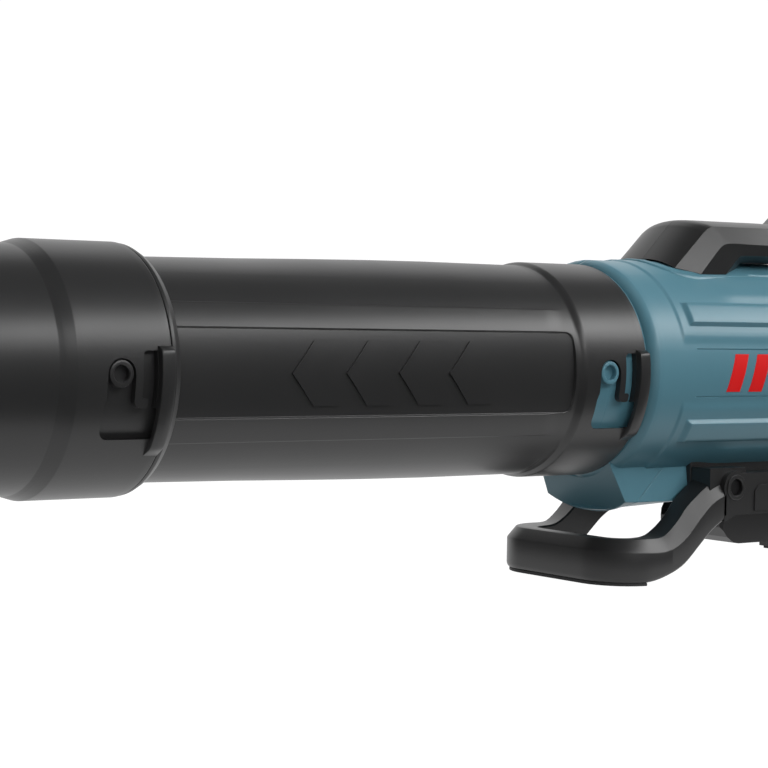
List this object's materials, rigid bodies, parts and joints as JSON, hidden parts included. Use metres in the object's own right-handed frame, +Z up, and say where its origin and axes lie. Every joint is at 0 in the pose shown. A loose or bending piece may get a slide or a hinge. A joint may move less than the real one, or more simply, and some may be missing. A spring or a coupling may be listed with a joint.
{
  "type": "leaf blower",
  "caption": "Cordless axial leaf blower with a tapered nozzle on a bayonet-joined blow tube, motor housing, top handle, slide-in battery and loop stand.",
  "frame": {"origin": "centre of the bounding box in plan, at the ground the stand rests on", "axes": "+X towards the air inlet at the back, -X out of the nozzle, -Y the side with the cruise lever, +Z up"},
  "size_m": [0.97, 0.113, 0.2162],
  "materials": {
    "tube_plastic": "satin moulded black with a fine grain",
    "housing_plastic": "satin moulded blue-green",
    "black_plastic": "satin moulded black",
    "pack_plastic": "matt black",
    "soft_rubber": "matt rubber",
    "steel": "plated steel",
    "motor_iron": "laminated iron",
    "copper_wire": "enamelled copper",
    "contact_brass": "bright contact metal",
    "board_laminate": "lacquered green",
    "capacitor_sleeve": "glossy sleeve",
    "cell_wrap": "glossy wrap",
    "red_button": "gloss red",
    "grey_button": "satin grey"
  },
  "bodies": {
    "housing": {"housing_left": "housing_plastic", "housing_right": "housing_plastic", "top_cover": "housing_plastic", "housing_screws": "steel", "spigot_seal": "soft_rubber", "handle_left": "black_plastic", "handle_right": "black_plastic", "handle_screws": "steel", "handle_bolts": "steel", "grip_pad": "soft_rubber", "trigger_spring": "steel", "trigger_switch": "black_plastic", "trigger_pin": "steel", "turbo_switch": "black_plastic", "strap_eyelet": "black_plastic", "stand_frame": "black_plastic", "stand_screws": "steel", "stand_pads": "soft_rubber", "battery_cradle": "black_plastic", "terminal_block": "black_plastic", "terminal_blades": "contact_brass", "control_board": "board_laminate", "board_capacitors": "capacitor_sleeve", "stator_duct": "black_plastic", "motor_hub": "black_plastic", "stator_vanes": "black_plastic", "motor_can": "steel", "motor_stator": "motor_iron", "motor_windings": "copper_wire", "tail_cone": "black_plastic", "front_bearing": "steel", "rear_bearing": "steel", "inlet_bell": "black_plastic", "inlet_grille": "black_plastic", "debris_screen": "steel", "grille_screws": "steel"},
    "middle_tube": {"mid_tube": "tube_plastic", "mid_tube_seal": "soft_rubber"},
    "front_nozzle": {"nozzle": "tube_plastic"},
    "rotor": {"rotor_shaft": "steel", "rotor_magnets": "motor_iron", "fan": "black_plastic", "fan_nut": "steel"},
    "trigger_lever": {"trigger": "black_plastic"},
    "cruise_control": {"cruise_lever": "black_plastic"},
    "turbo_key": {"turbo_button": "red_button"},
    "battery": {"battery_lower_case": "pack_plastic", "battery_upper_case": "pack_plastic", "battery_cells": "cell_wrap", "battery_contacts": "contact_brass", "battery_screws": "steel", "charge_button": "grey_button", "latch_spring": "steel"},
    "battery_latch": {"latch_button": "red_button"}
  },
  "joints": [
    {"name": "tube_twist", "type": "hinge", "parent": "housing", "child": "middle_tube", "pos_m": [0.094, 0, 0.1], "axis": [1, 0, 0], "range_deg": [-22, 0]},
    {"name": "nozzle_twist", "type": "hinge", "parent": "middle_tube", "child": "front_nozzle", "pos_m": [-0.1625, 0, 0.1], "axis": [1, 0, 0], "range_deg": [-22, 0]},
    {"name": "fan_spin", "type": "hinge", "parent": "housing", "child": "rotor", "pos_m": [0.336, 0, 0.1], "axis": [1, 0, 0], "continuous": true},
    {"name": "trigger_pull", "type": "hinge", "parent": "housing", "child": "trigger_lever", "pos_m": [0.306, 0, 0.196], "axis": [0, -1, 0], "range_deg": [0, 9], "stiffness_Nm_per_rad": 0.6, "springref_deg": -20.05, "deforming": ["trigger_spring"]},
    {"name": "cruise_lever_turn", "type": "hinge", "parent": "housing", "child": "cruise_control", "pos_m": [0.279, -0.0175, 0.183], "axis": [0, 1, 0], "range_deg": [0, 70]},
    {"name": "turbo_button_press", "type": "slide", "parent": "housing", "child": "turbo_key", "axis": [0, 0, -1], "range_m": [0, 0.002], "stiffness_N_per_m": 600, "springref_m": -0.002},
    {"name": "battery_slide", "type": "slide", "parent": "housing", "child": "battery", "axis": [1, 0, 0], "range_m": [0, 0.11]},
    {"name": "latch_press", "type": "slide", "parent": "battery", "child": "battery_latch", "axis": [0, 0, -1], "range_m": [0, 0.002], "stiffness_N_per_m": 800, "springref_m": -0.002, "deforming": ["latch_spring"]}
  ]
}
